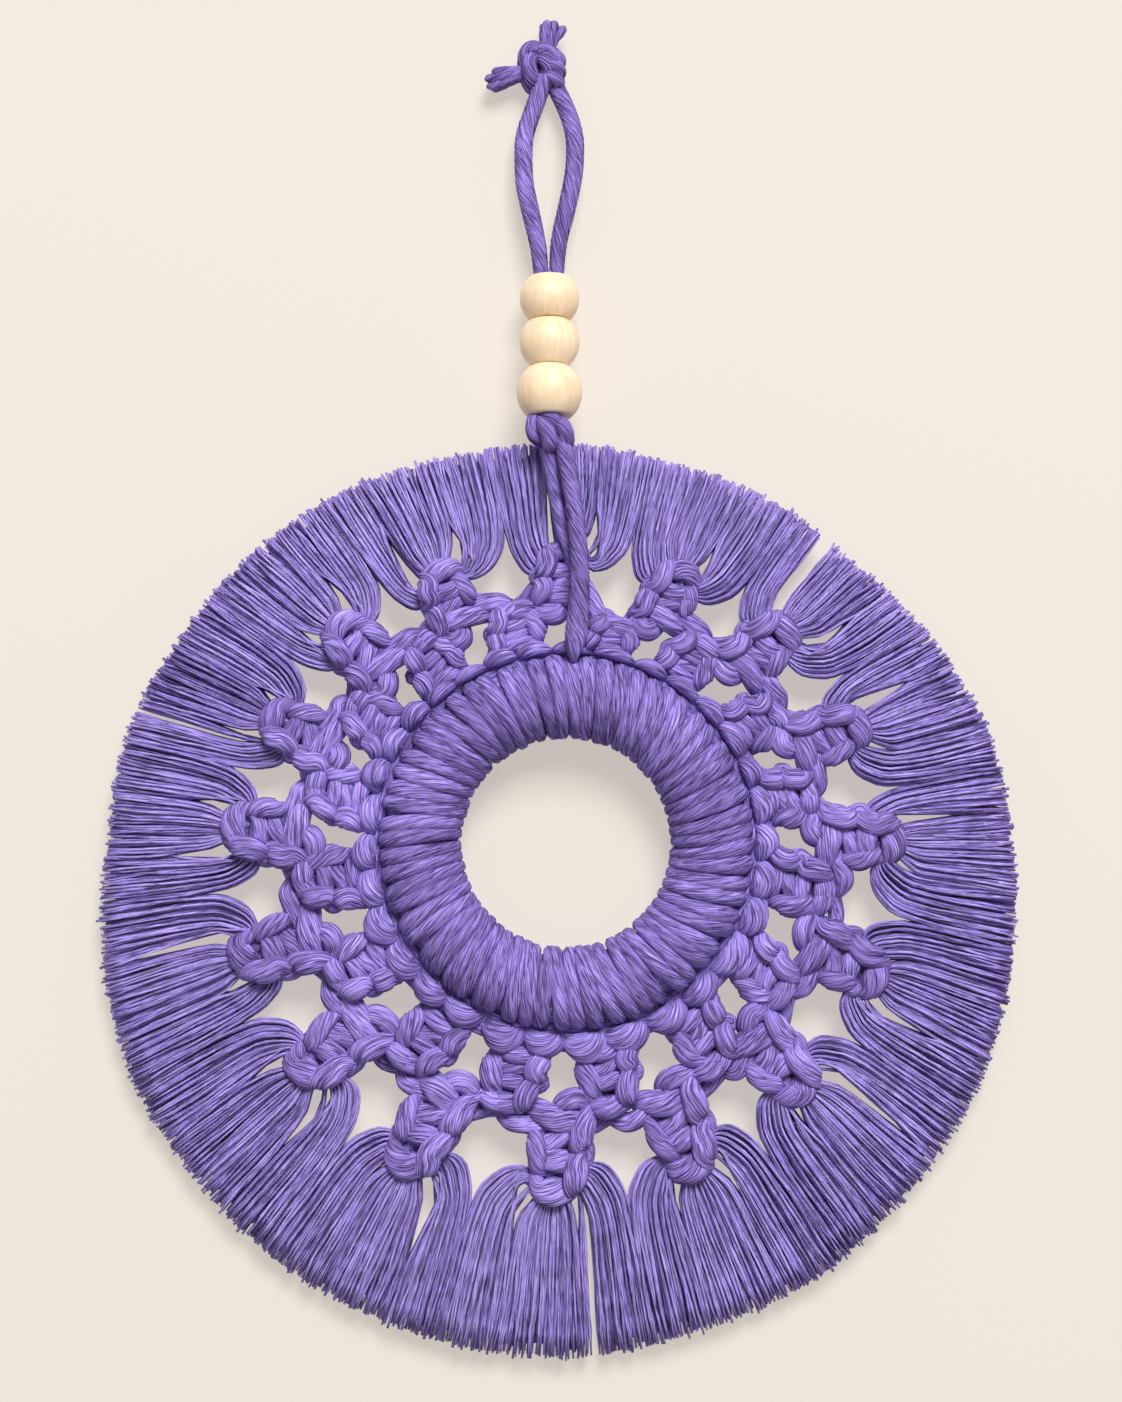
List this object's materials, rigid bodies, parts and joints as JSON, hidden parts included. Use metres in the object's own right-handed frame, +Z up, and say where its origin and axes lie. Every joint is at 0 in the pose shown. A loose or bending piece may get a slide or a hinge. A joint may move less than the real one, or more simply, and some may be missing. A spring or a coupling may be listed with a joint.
{
  "type": "macrame wall hanging",
  "caption": "Round macrame wall hanging: a cord-wrapped ring in a net of square knots, with a combed fringe all round and a beaded hanging loop.",
  "frame": {"origin": "the hang point, where the cord loop rests on whatever holds it up", "axes": "+Z up, +X to the viewer's right, and the decorated front faces -Y"},
  "size_m": [0.2528, 0.0236, 0.369],
  "materials": {
    "cotton": "soft matt violet cotton cord, loosely twisted, combed out in the fringe",
    "wood": "pale unvarnished wood, sanded smooth, satin"
  },
  "bodies": {
    "root": {"wrapped_ring": "cotton", "first_knot_01": "cotton", "first_knot_02": "cotton", "first_knot_03": "cotton", "first_knot_04": "cotton", "first_knot_05": "cotton", "first_knot_06": "cotton", "first_knot_07": "cotton", "first_knot_08": "cotton", "first_knot_09": "cotton", "first_knot_10": "cotton", "first_knot_11": "cotton", "first_knot_12": "cotton", "first_knot_13": "cotton", "first_knot_14": "cotton", "first_knot_15": "cotton", "first_knot_16": "cotton", "tassel_01": "cotton", "tassel_02": "cotton", "tassel_03": "cotton", "tassel_04": "cotton", "tassel_05": "cotton", "tassel_06": "cotton", "tassel_07": "cotton", "tassel_08": "cotton", "tassel_09": "cotton", "tassel_10": "cotton", "tassel_11": "cotton", "tassel_12": "cotton", "tassel_13": "cotton", "tassel_14": "cotton", "tassel_15": "cotton", "tassel_16": "cotton", "bead_top": "wood", "bead_middle": "wood", "bead_bottom": "wood", "hanging_cord": "cotton"}
  },
  "joints": []
}
